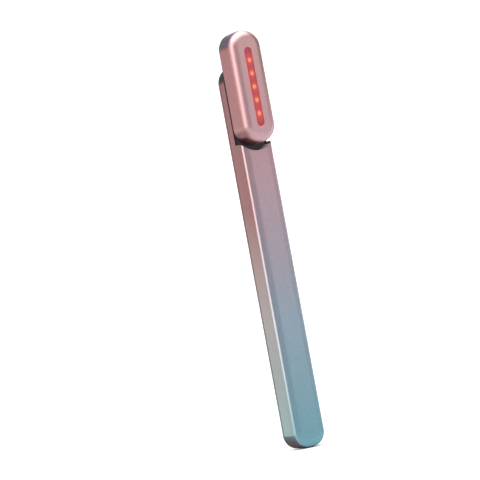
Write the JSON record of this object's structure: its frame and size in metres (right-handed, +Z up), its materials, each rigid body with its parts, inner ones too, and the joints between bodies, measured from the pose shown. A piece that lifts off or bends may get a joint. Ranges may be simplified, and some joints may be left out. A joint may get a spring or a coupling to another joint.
{
  "type": "heated eye massager wand",
  "caption": "Slim hand-held massager wand with a tilting pill-shaped heated head, a red light slot, a back button and a charging socket.",
  "frame": {"origin": "middle of the outer box at the tip of the handle's bottom end", "axes": "+Z up the handle towards the head, -Y out of the lit face, +Y out of the flat back, X across the width along the hinge pin"},
  "size_m": [0.0148, 0.0174, 0.172],
  "materials": {
    "handle_metal": "satin pearlescent anodised metal, rose pink at the top fading through mauve and steel blue to teal at the bottom",
    "cover_metal": "the same satin gradient as the handle",
    "head_metal": "satin rose-pink metal with a fine sparkle",
    "button_metal": "satin metal in the handle's colour",
    "dark_trim": "dark grey moulded plastic, fine texture",
    "seal_rubber": "black silicone",
    "tray_plastic": "off-white moulded plastic",
    "battery_can": "bare metal can",
    "foam": "closed-cell foam",
    "wire_insulation": "red and black wire insulation",
    "board": "green circuit board",
    "chip_black": "black moulded component",
    "small_steel": "plain steel",
    "socket_steel": "nickel-plated steel",
    "connector_plastic": "natural nylon",
    "white_plastic": "white plastic",
    "clear_plastic": "clear polished plastic",
    "flex_film": "amber flexible film with copper tracks",
    "washer_brass": "plain brass",
    "ball_chrome": "polished steel ball",
    "red_lens": "translucent red lens lit from behind",
    "led_light": "lit orange-red light"
  },
  "bodies": {
    "handle": {"handle_shell": "handle_metal", "back_cover": "cover_metal", "cover_gasket": "seal_rubber", "recess_liner": "dark_trim", "inner_tray": "tray_plastic", "battery_cell": "battery_can", "battery_pads": "foam", "battery_leads": "wire_insulation", "charge_leads": "wire_insulation", "main_board": "board", "board_chips": "chip_black", "board_screws": "small_steel", "flex_connector": "connector_plastic", "tact_switch": "chip_black", "status_led": "white_plastic", "light_pipe": "clear_plastic", "button_gasket": "seal_rubber", "usb_board": "board", "usb_socket": "socket_steel", "usb_tongue": "chip_black", "tongue_flex": "flex_film", "hinge_pin": "small_steel", "hinge_washers": "washer_brass", "detent_spring": "small_steel"},
    "detent": {"detent_ball": "ball_chrome"},
    "button": {"power_button": "button_metal", "switch_plunger": "connector_plastic"},
    "head": {"head_shell": "head_metal", "head_back": "dark_trim", "head_screws": "small_steel", "red_lens": "red_lens", "led_reflector": "white_plastic", "led_board": "white_plastic", "led_chips": "led_light", "heater_film": "flex_film", "heat_sensor": "chip_black", "foam_pad": "foam", "motor_case": "socket_steel", "motor_sleeve": "seal_rubber", "head_flex": "flex_film"},
    "motor_rotor": {"motor_weight": "washer_brass"}
  },
  "joints": [
    {"name": "head_tilt", "type": "hinge", "parent": "handle", "child": "head", "pos_m": [0, 0.00595, 0.156], "axis": [-1, 0, 0], "range_deg": [0, 90]},
    {"name": "button_press", "type": "slide", "parent": "handle", "child": "button", "axis": [0, -1, 0], "range_m": [0, 0.00035], "stiffness_N_per_m": 3000},
    {"name": "motor_spin", "type": "hinge", "parent": "head", "child": "motor_rotor", "pos_m": [0, -0.00142, 0.143], "axis": [0, 0, 1], "continuous": true},
    {"name": "detent_press", "type": "slide", "parent": "handle", "child": "detent", "axis": [0, 0, -1], "range_m": [0, 0.0003], "stiffness_N_per_m": 600, "deforming": ["detent_spring"]}
  ]
}
